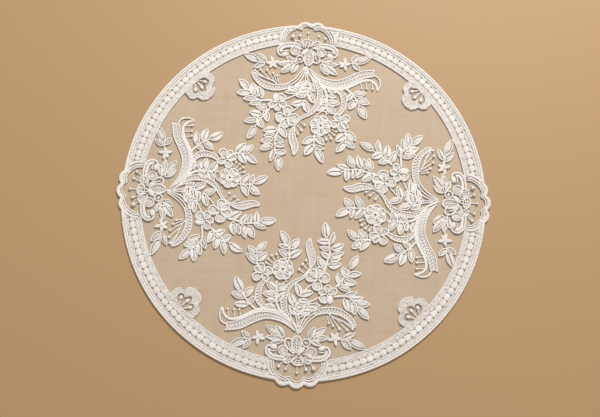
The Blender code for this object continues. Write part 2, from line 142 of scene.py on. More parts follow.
# ---- the spray ----
# Sprigs: the stem, then the foot, tip and width of each leaf.
SPRIGS = table(
    "stem leaves",
    ([(21.5, -70), (23.2, -62), (25.6, -52), (24.6, -44), (22.6, -37.5)],
     [(22, -38, 20.6, -24, 6.6), (25.6, -44, 28.8, -32.6, 4.4), (25, -42, 14.2, -42, 5.2),
      (27.5, -48.6, 38.2, -43.6, 6.2), (26, -49, 16.6, -47.2, 4.2), (26.4, -57, 17.4, -51.4, 4.4),
      (27, -55, 38.8, -51.6, 5.2), (26.6, -59, 36.4, -57, 4.2), (22.8, -67, 15, -56.4, 6),
      (24.6, -63.6, 36.6, -61.8, 6.2)]),
    ([(-11.5, -61), (-11.4, -54), (-12, -47)],
     [(-13, -46.4, -20.2, -33.6, 6.2), (-10.8, -50, -3, -40.4, 6.4), (-11.8, -49.6, -21.4, -47, 4.2),
      (-11.6, -58.6, -21.2, -51, 5.4), (-11, -58, -0.4, -51.4, 5.8)]),
    ([(-40.4, -67), (-40.8, -61), (-41.4, -55)],
     [(-41.2, -54.6, -32.8, -44.6, 5.8), (-41.4, -57.4, -49.4, -49, 6), (-41, -64.8, -50.8, -56.2, 5.8),
      (-41, -61.8, -32, -55, 6.4)]),
    ([(-38, -108), (-45.6, -101.5), (-50.4, -95.4), (-53.2, -89.5)],
     [(-53, -90.4, -59.8, -78.4, 6.8), (-50.4, -96.6, -62.2, -92.8, 6),
      (-46.8, -102.4, -58.8, -102.8, 5.6), (-49.8, -95.4, -43, -86.8, 5.8), (-46, -102.4, -41, -95, 4.6)]),
    ([(32, -84), (37.4, -77), (42.4, -71), (44.8, -65.5)],
     [(45, -65.8, 51.8, -53.6, 5.8), (42.6, -72.2, 55.4, -70, 5.2), (39.8, -77.2, 50.8, -79.2, 5.9),
      (34.6, -82, 45.6, -86.2, 5.8), (43, -74.4, 37.9, -65, 5.7), (37.4, -81, 33.4, -71, 5.6)]),
    ([(30, -92.4), (37, -91.6), (44, -92), (49.4, -96.4), (53.6, -102)],
     [(40.6, -90.8, 52, -87.6, 4.6), (46, -94, 57.8, -92.2, 4.9), (51.2, -99, 64, -97.8, 5.8),
      (53, -101.4, 62.8, -111.2, 6), (48.6, -96.8, 49.8, -107.8, 5.4), (44.4, -95, 47, -106, 4.6),
      (40, -93.6, 44.2, -104.8, 5)]),
    ([(-16, -110), (-20.4, -102.5), (-22, -96), (-22, -89), (-21.5, -79)],
     [(-21, -89.4, -31.2, -81.6, 6), (-22, -93.4, -33.8, -91.8, 6), (-22.4, -98.6, -30.4, -97.6, 4),
      (-22, -103.6, -31, -102.6, 3.4), (-21.4, -89, -13, -83.8, 5.6), (-21, -98.8, -14.8, -90.2, 4.8)]),
    ([(-6, -109), (-3, -102), (0, -95)],
     [(0, -93, -4.2, -81.6, 5.6), (-0.2, -92.4, 11.8, -89, 5.6), (-4, -102, -9.4, -91, 5.8),
      (-5, -110, -9.4, -101.8, 4.2)]),
    ([(-2.4, -112), (3, -105.4), (6.4, -100), (11, -97), (18, -93.4)],
     [(8, -97.6, -1.6, -97.2, 3.7), (6, -99.8, -4, -102, 3.8), (7.4, -100.6, 19, -100.6, 4.3),
      (6, -102.8, 16, -103.8, 3.4), (5, -103.2, -3.6, -106, 3.7), (3, -106.8, 12, -105.4, 4),
      (2.6, -108, -4.8, -110, 3.5), (1.6, -109.8, 9.6, -108.6, 3.4)]))

# Braided scrolls: two edges, the width of each one's cord, and the rows of small openings between them.
SCROLLS = table(
    "one other edges rows",
    ([(-6, -120), (-11, -114.5), (-20, -110.3), (-30, -108.5), (-38, -109.5), (-46, -113), (-55, -117.5),
      (-66, -120.5)],
     [(-2.5, -125), (-12, -118.5), (-20, -115.5), (-30, -114.5), (-38, -117), (-45, -120.5), (-53, -124.5),
      (-66.5, -126.5)], (1.2, 1.3), 2),
    ([(12, -106.6), (20, -103.2), (30, -102.2), (39, -104.2), (45.2, -108.6), (49.6, -113.6), (52, -119)],
     [(14, -110.4), (21, -108), (30, -107.6), (38, -109.4), (44, -113), (48.5, -117.2), (51.5, -120)],
     (1.3, 1.4), 1),
    ([(-32, -107), (-39.4, -99.6), (-40.6, -92), (-38.6, -85.4), (-34.4, -80)],
     [(-28, -106), (-34.4, -99), (-35.8, -92), (-34.8, -86), (-32, -81)], (1.3, 1.3), 1),
    ([(7.6, -67), (7.5, -62), (6, -56), (4.4, -51), (3.8, -46), (5.2, -42), (7.4, -39.2)],
     [(8.4, -67.4), (11.3, -63.4), (12.6, -57.5), (11.6, -52), (9.4, -47), (8.4, -42.6), (7.7, -39.4)],
     (1.4, 1.4), 2),
    ([(-13, -113), (-16.6, -104), (-17.2, -98), (-16, -91.6), (-12.8, -85), (-7.6, -80), (-1, -76.6),
      (4, -73.6)],
     [(-9, -112), (-12, -103.6), (-12.4, -97), (-11, -91), (-8.2, -85.4), (-4.6, -81.4), (0.4, -78),
      (4.6, -75)], (1.3, 1.3), 1))

# Thick satin cords and plain cords: the line and its width, or the widths at its start, middle and end.
CORDS = table(
    "path width",
    ([(0, -128), (-3, -120.5), (-10, -112.9), (-20, -108), (-30, -106.2), (-38, -107.3), (-46, -111),
      (-55, -115.3), (-63, -116), (-68, -112), (-70, -105.5)], (2, 3.8, 1.8)),
    ([(-70.3, -106), (-72, -113), (-70, -118.8), (-64, -121.8)], (1.3, 1.5, 1.3)),
    ([(-66, -120.5), (-64.5, -123.5), (-66.5, -127)], 1.2),
    ([(-0.6, -127), (2.2, -117), (6.5, -109.8), (12.5, -105.4)], (1.2, 1.5, 1.4)),
    ([(0.4, -127), (4.5, -117.6), (9, -111.5), (14, -107.8)], (1.2, 1.3, 1.3)),
    ([(1.4, -127), (6.5, -118.6), (10.8, -113.4), (15, -110.2)], 1.2),
    ([(26, -107.5), (30.5, -111), (38, -113.8), (45, -116.5), (50, -120)], (1.3, 1.3, 1.2)),
    ([(-1.6, -124), (-6, -116), (-8.4, -109), (-9.5, -103)], (1.4, 1.4, 1.3)),
    ([(-1, -122), (-2.6, -113), (-5.4, -104), (-6.4, -97)], (1.3, 1.3, 1.2)),
    ([(-0.4, -122), (-0.2, -114), (-1.4, -107)], 1.2),
    ([(-10, -113.5), (-18.5, -104.5), (-21, -97), (-20, -89)], (1.4, 1.4, 1.2)),
    ([(-14, -111), (-23, -104.6), (-27.5, -98)], (1.3, 1.3, 1.2)),
    ([(1, -75.6), (4.4, -72.8), (7, -69), (8, -66.4)], (1.6, 1.8, 1.4)),
    ([(-24, -80.6), (-18.5, -83.5), (-12, -79)], 1.2),
    ([(-2, -113.4), (4, -110.6), (12, -106), (20, -103.4)], (1.2, 1.3, 1.2)),
    ([(-0.2, -92.6), (3.6, -88), (10.4, -81.8)], (1.4, 1.3, 1.4)))

# Flowers: the eye, then the middle of each petal and its half width along and across the way out.
FLOWERS = table(
    "eye petals",
    ((-34.8, -73.8), [(-40.4, -76.8, 4.4, 3.9), (-39.6, -70.4, 4.2, 2.9), (-36.4, -67.8, 4.2, 3.4),
     (-30.2, -71.4, 4.4, 3.9), (-32, -78.2, 3.4, 3.4)]),
    ((15.8, -76.6), [(9.2, -75.4, 5.2, 4.4), (11.2, -71, 4, 3.2), (17.2, -69.4, 4.4, 4.2),
     (21.8, -75.7, 5, 4.8), (15.2, -83, 4.8, 4.6)]),
    ((24.6, -89.8), [(20, -88.2, 3.9, 3.4), (25, -85.2, 3.8, 3.2), (30.2, -87.6, 4.1, 3.4),
     (21.6, -94.8, 4.2, 4.2)]))
WHEEL = dict(x=-16.8, y=-69.2, radius=10.4, petals=7, turn=1.571)
SMOOTH_PETAL = dict(x=27.4, y=-95, rx=2.9, ry=4.7, height=1.4)

# Berries: a knot at the end of a short stalk.
BERRIES = table(
    "x0 y0 x1 y1 size",
    (-64, -114.5, -64.8, -107.6, 2.3), (-58.5, -115, -59.2, -107.8, 2.3), (-53, -113.8, -54.3, -107.6, 2.3),
    (25.4, -109.6, 27, -116.4, 2.6), (26.6, -109.8, 31, -118.8, 2.6), (29.4, -111, 36.8, -121.4, 2.7),
    (33.6, -112.4, 43.4, -121.8, 2.6), (38.4, -113.6, 48.8, -120.8, 2.6), (-24.4, -61.6, -27.4, -57, 2.7),
    (-21.4, -60.6, -23, -55.8, 2.7), (-26, -64.2, -30.4, -60.6, 2.5), (-27, -66.4, -32, -64, 2.5),
    (2.9, -72, -1.8, -68.9, 2.7), (5.4, -68.7, 1.2, -63.9, 2.8), (7.2, -65, 4.3, -60.1, 2.6))

# ---- the medallion ----
WINDOW_EDGE = [
    (-20.8, -151.5), (-20.6, -156.5), (-18, -161), (-14.4, -164.2), (-10.4, -165.8), (-6.4, -164.8),
    (-4.6, -167.4), (0, -169.4), (4.6, -167.6), (6.2, -164.8), (10.4, -166), (14.6, -164.2), (18.2, -161),
    (21, -156.5), (21.6, -151.5)]
WINDOW_CORDS = table("out width height", (0.5, 1.3, 1.2), (2.5, 1.7, 1.4))
# Ground between the scalloped edge and the window: high at the edge, lower round the window.
WINDOW_GROUND = (
    (-1, 0), (-0.95, 1), (-0.7, 1), (-0.45, 1), (-0.2, 1), (0.1, 0.7), (0.5, 0.65), (0.95, 0.6), (1, 0))
EDGE_SATIN = 3.4  # smooth satin along the scalloped edge, across
SIDE_CORDS_FROM = 17  # from the middle of the medallion
EDGE_CORD = dict(inside=4.6, width=2, height=1.9, base=RIM_BASE)
FRAME_CORD = dict(inside=-5.3, width=2.4, height=1.7, base=0)
HEART_PETALS = table(
    "x y rx ry foot netted", (0.2, -151.4, 4.6, 5.6, (0.8, -147), True),
    (-8.8, -149.8, 4.8, 4.2, (-2.4, -147.2), True), (9.2, -149.6, 4.8, 4.6, (3.2, -145.4), False))
# Ringed balls: the ring, and how far the ridges inside it reach and which way they run.
HEART_RINGS = table("x y radius width inner turn", (-13.4, -142.2, 3.9, 1.4, 3.3, 15),
                    (7.2, -135, 3.4, 1.5, 1.7, 70), (11.9, -143.4, 4.3, 1.4, 3.7, -35))
HEART_BUD = dict(one=[(-1.6, -144.8), (-5, -140), (-5.7, -134.6), (-3.6, -130.4), (-0.8, -128.6)],
             other=[(-0.8, -144.8), (2.2, -139.8), (2.8, -134.6), (1.6, -130.8), (-0.6, -128.8)],
             edges=(1.9, 1.9), rows=2)
HEART_CORDS = table(
    "path width",
    ([(-2.8, -145.6), (-7.6, -141.6), (-11.4, -137.6), (-12.2, -134), (-10.2, -131.8), (-7.2, -131.8),
      (-5.6, -133.6)], 1.7),
    ([(-4.4, -142.8), (-7.6, -138.8), (-8.8, -134.6)], 1.5),
    ([(-10.4, -144.6), (-6.4, -146.2), (-3, -146.8)], 1.2),
    ([(-11.6, -146.4), (-7.4, -147.4)], 1.1),
    ([(3.4, -139.4), (2.4, -136.6), (3, -133.2)], 1.2),
    ([(9.6, -133.4), (11.8, -131.6)], 1.3),
    ([(3.4, -140), (6.6, -138.9), (10.4, -139.2)], 1.3))
HEART_PILLOW = dict(x=2.8, y=-142.4, rx=4.6, ry=2.5, turn=40, base=0.4, sides=22)
HEART_EYE = dict(x=0.8, y=-147.2, radius=1.5, width=1, height=1.3, base=0.3)
VOLUTE = [(9.5, -150.8), (17, -150.8), (24.2, -149.2), (28.4, -145), (28, -140), (24.4, -137.4)]
VOLUTE_INSIDE = 2.8  # from the outer cord to the inner one
VOLUTE_BALL = (21.9, -139.4, 20)  # its middle and its turn
VOLUTE_CURL = [(25.6, -142.2), (22, -143.2), (18.6, -142.6)]
STAMENS = table(
    "x0 y0 x1 y1 size",
    (0, -155.5, 0, -161.8, 2.6), (-7, -153, -10, -159, 2.6), (-12.5, -151.5, -16.6, -156.8, 3),
    (5.6, -152.6, 8, -158.8, 3), (10.6, -151.2, 14.8, -157.6, 3.8))
RIM_LEAVES = table(
    "x0 y0 x1 y1 width",
    (-13.5, -130.5, -20.5, -120.6, 5.8), (-17, -129.5, -29, -121, 6), (-14, -132.6, -29, -130.6, 5),
    (-14.5, -134, -25, -136.6, 4.2), (-44, -133, -51, -126.6, 4.8), (-46.5, -134, -61, -139.6, 6.2),
    (-43, -134.6, -49, -142, 4.6), (9.5, -131, 14.5, -120.8, 5.8), (13, -129.5, 24.5, -120.8, 6),
    (14, -131, 27.5, -129.4, 5), (11, -132.4, 20.5, -136.8, 4.4), (40.5, -129.5, 51, -124.6, 4.8),
    (39, -131, 48, -139, 5.2), (45.5, -131.2, 61, -138.2, 6.2))
RIM_STARS = table(
    "eye petals",
    ((-36.5, -131.4), [(-37.6, -125), (-31.2, -129), (-29.6, -133.6), (-36.6, -139), (-42, -132.6)]),
    ((33, -130.4), [(29, -124.8), (35.8, -124.2), (26, -131.8), (34.8, -137.2), (39.6, -129.6)]))
STAR_WIDTH = 3.4
RIM_STEMS = [[(-10, -135), (-22, -132), (-36, -132), (-46, -134)],
             [(9, -135), (22, -130.6), (33, -130.4), (46, -131)]]

# ---- the rosette ----
ROSETTE_OUTER = mirrored(
    (-15, -152.6), (-15.8, -149), (-15.9, -144.6), (-14, -140.8), (-9.6, -138.8), (-9, -135.2),
    (-5.4, -131.8), (0, -130.8))
# The window is three drops side by side, each round one stamen.
ROSETTE_INNER = mirrored(
    (-2.4, -152.6), (-5.6, -151), (-8.8, -148.4), (-9.4, -145.4), (-7.6, -143), (-5, -143.2),
    (-3.5, -145.2), (-2.9, -142), (0, -139))
ROSETTE_PROFILE = ((-1, 0), (-0.97, 0.85), (-0.8, 1.1), (-0.62, 0.95), (-0.36, 1), (-0.1, 1),
                   (0.16, 1), (0.42, 1), (0.64, 0.95), (0.82, 1.1), (0.97, 0.85), (1, 0))
ROSETTE_HEIGHT = 1.25
ROSETTE_STAMENS = table(
    "foot tip rx ry turn",
    ((-0.4, -151.6), (0, -144.2), 1.7, 2.5, 0), ((-2.6, -151.4), (-6, -146.2), 1.8, 2.3, 30),
    ((2.6, -151.4), (6, -146.2), 1.8, 2.3, -30))

# ---- the rim band, laid out straight and then bent round ----
PITCH = 6.53  # from one eyelet to the next, along the eyelet row
EYELET_RADIUS = 160.0  # where lengths along the band are measured
FIRST_EYELET = 31.0  # along the band from the middle of the medallion before it
BAND_CORDS = table("radius width height", (168.8, 2.3, 2.1), (166.75, 1.9, 2), (152.2, 1.3, 1.75))
WOVEN_STRIPS = table("inner outer height", (152.4, 157.7, 1.5), (163.2, 165.8, 1.45))
KNOT = 1.2  # half the spacing of the bumps in woven strips
KNOT_HEIGHT = 0.42
WOVEN_SUNK = 0.2  # how far close stitches are shaded
BLOCK_HEAD = 157.5  # inner edge of the blocks between the eyelets
BLOCK_WAIST = (159.4, 161.3)
BLOCK_FOOT = 163.4
BLOCK_HEIGHT = 1.85
BLOCK_OVERLAP = 0.35  # of a block's waist past the middle of an eyelet
UPPER_EYELET = 1.5  # across, between the heads of two blocks
LOWER_EYELET = 2.1  # between their feet
TIE_REACH = 1.2  # threads that cross where two blocks meet
TIE_WIDTH = 1.0
TIE_LIFT = 1.15  # over the underside of the rim
BAND_OVERLAP = 2.5  # of its cords with the medallion's edge

# ---- materials, net, stage and camera ----
SHARP_ANGLE = radians(62)
STITCH_PITCH = 0.42  # from one stitch to the next, in millimetres
NET_PITCH = 0.00042  # two threads of the net, in metres
NET_RINGS = 44
NET_SPOKES = 240
FLOOR_HALF = 1600.0
# Places and sizes in metres, power in watts.
LAMPS = table(
    "name place size power colour",
    ("key", (0.43, 1.42, 1.36), 0.37, 42, (1, 0.98, 0.95)),
    ("fill", (-0.6, -0.9, 1.5), 1.2, 4, (0.95, 0.97, 1)))
# The camera's place from the point it looks at, before it is tilted, in rim radii like that point.
CAMERA_AWAY = (0, 0, 4.894)
CAMERA_TILT = 0.2091  # from straight down, radians
CAMERA_ROLL = -0.1084
LOOK_AT = (-0.0158, -0.0680, 0)
DOILY_TURN = 0.0642  # of the doily under the camera
LENS = 53.66


# ---- lines in the plan ----
def run_along(line):
    """Length along a line up to each of its points."""
    return np.concatenate([[0], np.cumsum(np.linalg.norm(np.diff(line, axis=0), axis=1))])


def resampled(line, count):
    """The same line with so many points, evenly spaced."""
    run = run_along(line)
    at = np.linspace(0, run[-1], count)
    return np.stack([np.interp(at, run, line[:, i]) for i in range(2)], axis=1)


def matched(one, other):
    """Two lines given as many points as each other."""
    count = max(len(one), len(other))
    return resampled(one, count), resampled(other, count)


def spaced(line, step, closed=False):
    """The same line with points about a step apart."""
    if closed:
        line = np.vstack([line, line[:1]])
    found = resampled(line, max(3, int(round(run_along(line)[-1] / step)) + 1))
    return found[:-1] if closed else found


def curve(points, step=STEP, closed=False):
    """Smooth line through given points."""
    p = np.array(points, float)
    if closed:
        p = np.vstack([p[-1:], p, p[:2]])
    else:
        p = np.vstack([2 * p[:1] - p[1:2], p, 2 * p[-1:] - p[-2:-1]])
    parts = []
    for a, b, c, d in zip(p, p[1:], p[2:], p[3:]):
        roots = [max(sqrt(np.linalg.norm(v - u)), 1e-3) for u, v in ((a, b), (b, c), (c, d))]
        k = np.cumsum([0] + roots)
        t = np.linspace(k[1], k[2], CURVE_PARTS, endpoint=False)[:, None]

        def blend(u, v, low, high):
            return (k[high] - t) / (k[high] - k[low]) * u + (t - k[low]) / (k[high] - k[low]) * v

        ab, bc, cd = blend(a, b, 0, 1), blend(b, c, 1, 2), blend(c, d, 2, 3)
        parts.append(blend(blend(ab, bc, 0, 2), blend(bc, cd, 1, 3), 1, 2))
    if not closed:
        parts.append(p[-2:-1])
    return spaced(np.vstack(parts), step, closed)


def sideways(line, closed=False):
    """Unit vectors to the left of a line."""
    ahead = np.roll(line, -1, axis=0) - np.roll(line, 1, axis=0) if closed else np.gradient(line, axis=0)
    ahead /= np.maximum(np.linalg.norm(ahead, axis=1, keepdims=True), 1e-9)
    return np.stack([-ahead[:, 1], ahead[:, 0]], axis=1)


def lengthwise(x0, y0, x1, y1):
    """Points along a leaf from foot to tip, its length, and the direction to its left."""
    foot = np.array([x0, y0], float)
    run = np.array([x1, y1], float) - foot
    long = np.linalg.norm(run)
    return foot + run * LEAF_STATIONS[:, None], long, np.array([-run[1], run[0]]) / long


def turned(x, y, angle):
    """Place turned round the centre."""
    c, s = np.cos(angle), np.sin(angle)
    return np.stack([c * x - s * y, s * x + c * y], axis=-1)


def polar(reach, angle):
    """Place so far from the centre, at an angle from -Y."""
    return turned(0, -reach, angle)


def oval(x, y, rx, ry, turn=0, sides=18):
    """Closed outline of an ellipse turned by so many degrees."""
    angles = np.linspace(0, 2 * pi, sides, endpoint=False)
    return turned(rx * np.cos(angles), ry * np.sin(angles), radians(turn)) + (x, y)


# ---- thread shapes ----
def tube(rows, sides, closed=False):
    """Faces along a tube made of rows of corners."""
    ring = np.arange(sides)
    start = np.arange(rows if closed else rows - 1)[:, None] * sides
    after = (start + sides) % (rows * sides)
    quads = np.stack([start + ring, start + (ring + 1) % sides, after + (ring + 1) % sides, after + ring], -1)
    return quads.reshape(-1, 4)


def caps(rows, sides):
    """Faces that close the two ends of a tube."""
    ring = np.arange(sides)[None]
    return [ring[:, ::-1], ring + (rows - 1) * sides]


class Work:
    """Raised thread shapes gathered for one piece: corners, and for each its place along the stitches,
    its weight of painted crease shade or its place across the thread from -1 to 1, whose ends get
    painted shade, and its shape's tone. What is drawn by chance follows the order of the calls."""

    def __init__(self, seed):
        self.rng = random.Random(seed)
        self.points, self.stitch, self.faces = [], [], []
        self.count = 0

    def add(self, plan, height, along, across, faces):
        """One shape. faces is a list of arrays of corner numbers."""
        plan = plan.reshape(-1, 2)
        tone = np.full(len(plan), self.rng.uniform(-1, 1))
        self.points.append(np.column_stack([plan, np.ravel(height)]))
        self.stitch.append(np.column_stack([np.ravel(along), across, tone]))
        for group in faces:
            self.faces += (group + self.count).tolist()
        self.count += len(plan)

    def cord(self, points, width=CORD, height=None, base=0, closed=False, step=STEP,
             sides=CORD_SIDES, smooth=True):
        """Round thread that follows a line. width is one number, or several along the line."""
        points = np.array(points, float)
        line = curve(points, step, closed) if smooth else spaced(points, step, closed)
        run = run_along(line)
        widths = np.atleast_1d(np.array(width, float))
        if height is None:
            height = CORD_HEIGHT * min(1, widths.max())
        full = np.interp(run / run[-1], np.linspace(0, 1, len(widths)), widths)
        if not closed or run[-1] > EVEN_RING:
            swell = 1
            for beat in THREAD_BEATS:
                swell = swell + THREAD_UNEVEN * np.sin(run * beat + self.rng.uniform(0, 6))
            full = full * swell
        tall = full / widths.max() * height
        if not closed:
            near = np.minimum(run, run[-1] - run) / (0.5 * full)
            blunt = np.sqrt(np.clip(1 - (1 - np.clip(near, 0, 1)) ** 2, END_LEAST, 1))
            full = full * blunt
            tall = tall * (END_HEIGHT + (1 - END_HEIGHT) * blunt)
        theta = 2 * pi * (np.arange(sides) + 0.5) / sides
        over, up = (np.sign(wave) * np.abs(wave) ** CORD_SQUARE for wave in (np.cos(theta), np.sin(theta)))
        side = sideways(line, closed)
        plan = line[:, None] + side[:, None] * (0.5 * full)[:, None, None] * over[:, None]
        z = base + tall[:, None] * (0.5 + 0.5 * up)
        along = np.repeat(run, sides) + self.rng.uniform(0, FIRST_STITCH)
        faces = [tube(len(line), sides, closed)] + ([] if closed else caps(len(line), sides))
        # The place across the cord, over, also paints shade on its flanks.
        self.add(plan, z, along, np.tile(over, len(line)), faces)

    def ring(self, x, y, radius, width, height, base, sides=10, step=0.6):
        """Cord round a circle."""
        self.cord(oval(x, y, radius, radius, sides=sides), width, height, base, closed=True, step=step)

    def strip(self, one, other, profile, height, base=0, fade=0, slant=0, relief=0, sunk=0):
        """Closed strip between two lines of as many points, crowned as its profile says. Both ends
        sink over the length fade, and slant tilts the stitches. relief is added height, whose hollows
        are shaded, and sunk is the shade of the crown."""
        across, share = np.array(profile).T
        rows, cols = len(one), len(across)
        mix = (across[:, None] + 1) / 2
        plan = one[:, None] * (1 - mix) + other[:, None] * mix
        run = run_along((one + other) / 2)
        low = np.sqrt(np.clip(np.minimum(run, run[-1] - run) / fade, 0, 1)) if fade else np.ones(rows)
        z = base + height * share * low[:, None] + relief
        half = np.linalg.norm(other - one, axis=1) / 2
        along = run[:, None] + slant * np.abs(across) * half[:, None] + self.rng.uniform(0, FIRST_STITCH)
        # Painted shade: full where the profile is low, none on the crown, and more in the hollows between
        # bumps.
        crease_shade = np.tile(1 - np.minimum(share, 1), rows)
        if np.ndim(relief):
            crease_shade = np.maximum(crease_shade, np.clip(-HOLLOW_SHADE * relief.ravel() / relief.max(), 0, 1))
        crease_shade = (sunk + (1 - sunk) * crease_shade) ** (1 / CREASE_POWER)
        corner = np.arange((rows - 1) * cols).reshape(rows - 1, cols)
        near, far, first, last = corner[:, :-1], corner[:, 1:], corner[:, 0], corner[:, -1]
        quads = np.stack([near, far, far + cols, near + cols], -1).reshape(-1, 4)
        under = np.stack([first, first + cols, last + cols, last], -1)
        self.add(plan, z, along, crease_shade, [quads, under, *caps(rows, cols)])

    def knots(self, rows, cols):
        """Heights of the small bumps of close stitches, for so many corners."""
        row, col = np.mgrid[:rows, :cols]
        chance = np.array([[self.rng.uniform(-1, 1) for _ in range(cols)] for _ in range(rows)])
        relief = KNOT_HEIGHT * (np.where((row + col) % 2, 0.6, -0.6) + chance)
        relief[:, 0] = relief[:, -1] = 0.0
        return relief

    def woven(self, one, other, profile, height, base):
        """Strip of close stitches with small bumps."""
        relief = self.knots(len(one), len(profile))
        self.strip(one, other, profile, height, base, relief=relief, sunk=WOVEN_SUNK)

    def pad(self, outline, centre, rings, height, base=0, straight=False):
        """Closed pad inside an outline, crowned as its rings say. Its stitches lie side by side when it
        is straight, and fan out otherwise."""
        centre = np.array(centre, float)
        n = len(outline)
        spokes = outline - centre
        shares, tall = np.array([(1, 0), *rings]).T
        plan = np.vstack([(centre + spokes * shares[:, None, None]).reshape(-1, 2), centre])
        z = base + height * np.append(np.repeat(tall, n), tall[-1])
        ring = np.arange(n)
        last = (len(shares) - 1) * n
        fan = np.stack([last + ring, last + (ring + 1) % n, np.full(n, len(plan) - 1)], -1)
        along = plan[:, 0]
        if not straight:
            turn = np.arctan2(spokes[:, 1], spokes[:, 0]) * np.linalg.norm(spokes, axis=1).mean()
            along = np.append(np.tile(turn, len(shares)), 0)
        # The share of the way out doubles as painted shade, darkest at the pad's edge.
        across = np.append(np.repeat(shares, n), 0)
        self.add(plan, z, along, across, [tube(len(shares), n), fan, ring[None, ::-1]])

    def dome(self, x, y, rx, ry, turn=0, height=1.6, base=0.2, sides=18):
        """Smooth oval lump."""
        self.pad(oval(x, y, rx, ry, turn, sides), (x, y), DOME, height, base)

    def bead(self, x, y, size, base):
        """Round knot of thread."""
        self.dome(x, y, size / 2, size / 2, height=size * BEAD_HEIGHT, base=base, sides=12)

    def berry(self, x0, y0, x1, y1, size):
        """Stalk with a knot at its end."""
        self.cord([(x0, y0), (x1, y1)], (FINE_CORD, FINE_CORD * 1.2), 0.9, 0.1)
        self.bead(x1, y1, size * 1.1, 0.35)

    def leaf(self, x0, y0, x1, y1, width, base=0.1, bow=0):
        """Pointed leaf: a satin body inside a corded edge. Fine grooves part them on one or both sides,
        or a vein parts the body itself. bow bends the leaf, as a share of its length."""
        line, long, side = lengthwise(x0, y0, x1, y1)
        line = line + side * (bow * long * np.sin(pi * LEAF_STATIONS))[:, None]
        half = LEAF_FULLNESS * width / 2 * np.sin(pi * LEAF_STATIONS ** 0.9) ** 0.62
        out = np.maximum(half - LEAF_EDGE / 2, 0)[:, None] * side
        self.cord(np.vstack([line + out, (line - out)[-2:0:-1]]), LEAF_EDGE, 1.3, base, closed=True, step=0.8,
                  sides=6, smooth=False)
        left, vein, right = self.rng.choice(LEAF_GROOVES)
        middle, full = line[2:-1], half[2:-1] - LEAF_EDGE
        one = middle + np.maximum(full - left, BODY_LEAST)[:, None] * side
        other = middle - np.maximum(full - right, BODY_LEAST)[:, None] * side
        halves = [(one, other)]
        if vein and full.max() > LEAF_SPLIT:
            gap = np.minimum(vein / 2, full / 4)[:, None] * side
            halves = [(one, middle + gap), (middle - gap, other)]
        profile = RIDGED_PROFILE if len(halves) == 1 and full.max() > LEAF_RIDGED else SATIN_PROFILE
        for near, far in halves:
            self.strip(near, far, profile, SATIN_HEIGHT, base, fade=LEAF_FADE * long, slant=0.6)

    def ray(self, x0, y0, x1, y1, width, base=0.1):
        """Plain satin lozenge, for the petals of small stars."""
        line, long, side = lengthwise(x0, y0, x1, y1)
        out = (width / 2 * np.sin(pi * LEAF_STATIONS ** 0.8) ** 0.7)[:, None] * side
        self.strip(line + out, line - out, SATIN_PROFILE, SATIN_HEIGHT, base, fade=LEAF_FADE * long)

    def petal(self, x, y, rx, ry, foot, netted=False, ribs=3, base=0.15, bare=0.2):
        """Broad petal that widens to a round end: a corded edge, and inside it ribs with fine slits
        between them or a small net. A share of its length next to the foot is left bare. rx is how
        far it reaches past its middle, and ry its half width."""
        foot = np.array(foot, float)
        away = np.array([x, y]) - foot
        reach = np.linalg.norm(away)
        out = away / reach
        side = np.array([-out[1], out[0]])
        start = foot + out * PETAL_FOOT
        long = reach + rx - PETAL_FOOT - PETAL_EDGE / 2
        share, half = np.array(PETAL_OUTLINE).T
        half = half * (ry - PETAL_EDGE / 2)
        line = start + out * long * share[:, None]
        edge = half[:, None] * side
        self.cord(np.vstack([line + edge, (line - edge)[-2::-1]]), PETAL_EDGE, 1.5, base, step=0.8)

        def spot(place, lean):
            return start + out * long * place + side * lean * np.interp(place, share, half)

        if netted:
            for lean in (-0.36, 0.36):
                ends = [spot(place, lean) for place in (bare, 0.6, 0.98)]
                self.cord(ends, PETAL_NET, 0.95, base, sides=6)
            for at in (0.42, 0.66, 0.86):
                ends = [spot(at - 0.1, -1), spot(at, 0), spot(at - 0.1, 1)]
                self.cord(ends, PETAL_NET, 0.85, base, sides=6)
            return
        at = np.linspace(bare, 0.93, 8)
        inner = np.maximum(np.interp(at, share, half) - PETAL_EDGE / 2 - PETAL_GROOVE, BODY_LEAST)
        middle = start + out * long * at[:, None]
        for rib in range(ribs):
            sides = []
            for place, slit in ((1 - 2 * rib / ribs, rib > 0), (1 - 2 * (rib + 1) / ribs, rib < ribs - 1)):
                wide = np.maximum(inner * abs(place) - slit * PETAL_SLIT / 2, 0.05) * np.sign(place)
                sides.append(middle + wide[:, None] * side)
            relief = PETAL_RELIEF * self.knots(len(at), len(SATIN_PROFILE))
            self.strip(*sides, SATIN_PROFILE, PETAL_FILL, base, fade=0.15 * long, slant=0.4, relief=relief,
                       sunk=PETAL_SUNK)

    def wheel(self, x, y, radius, petals, turn, base=0.15):
        """Round flower: petals side by side round open spokes and a ringed eye."""
        middle = np.array([x, y])
        wide = radius * sin(pi / petals)
        for i in range(petals):
            a = turn + 2 * pi * i / petals + self.rng.uniform(-0.05, 0.05)
            at = middle + turned(1, 0, a) * radius * 0.69
            self.petal(*at, radius * 0.31, wide, middle, False, 2, base + 0.12 * (i % 2), 0.42)
        self.ring(x, y, radius * 0.15, 1.1, 1.4, base + 0.25)

    def flower(self, eye, petals, base=0.15):
        """Flower of separate petals round a small eye."""
        for i, (x, y, long, wide) in enumerate(petals):
            self.petal(x, y, long, wide * PETAL_OVERLAP, eye, base=base + 0.15 * (i % 2))
        self.ring(*eye, 1.2, 0.9, 1.3, base + 0.35)

    def ridges(self, x, y, radius, turn, base=0.15):
        """Round field filled with cords laid side by side."""
        count = max(2, round(2 * radius / RIDGE_PITCH))
        for i in range(count):
            off = radius * ((2 * i + 1) / count - 1)
            long = sqrt(radius ** 2 - off ** 2)
            ends = [turned(end, off, radians(turn)) + (x, y) for end in (-long, long)]
            self.cord(ends, RIDGE_PITCH * 0.92, 0.95, base, sides=6)

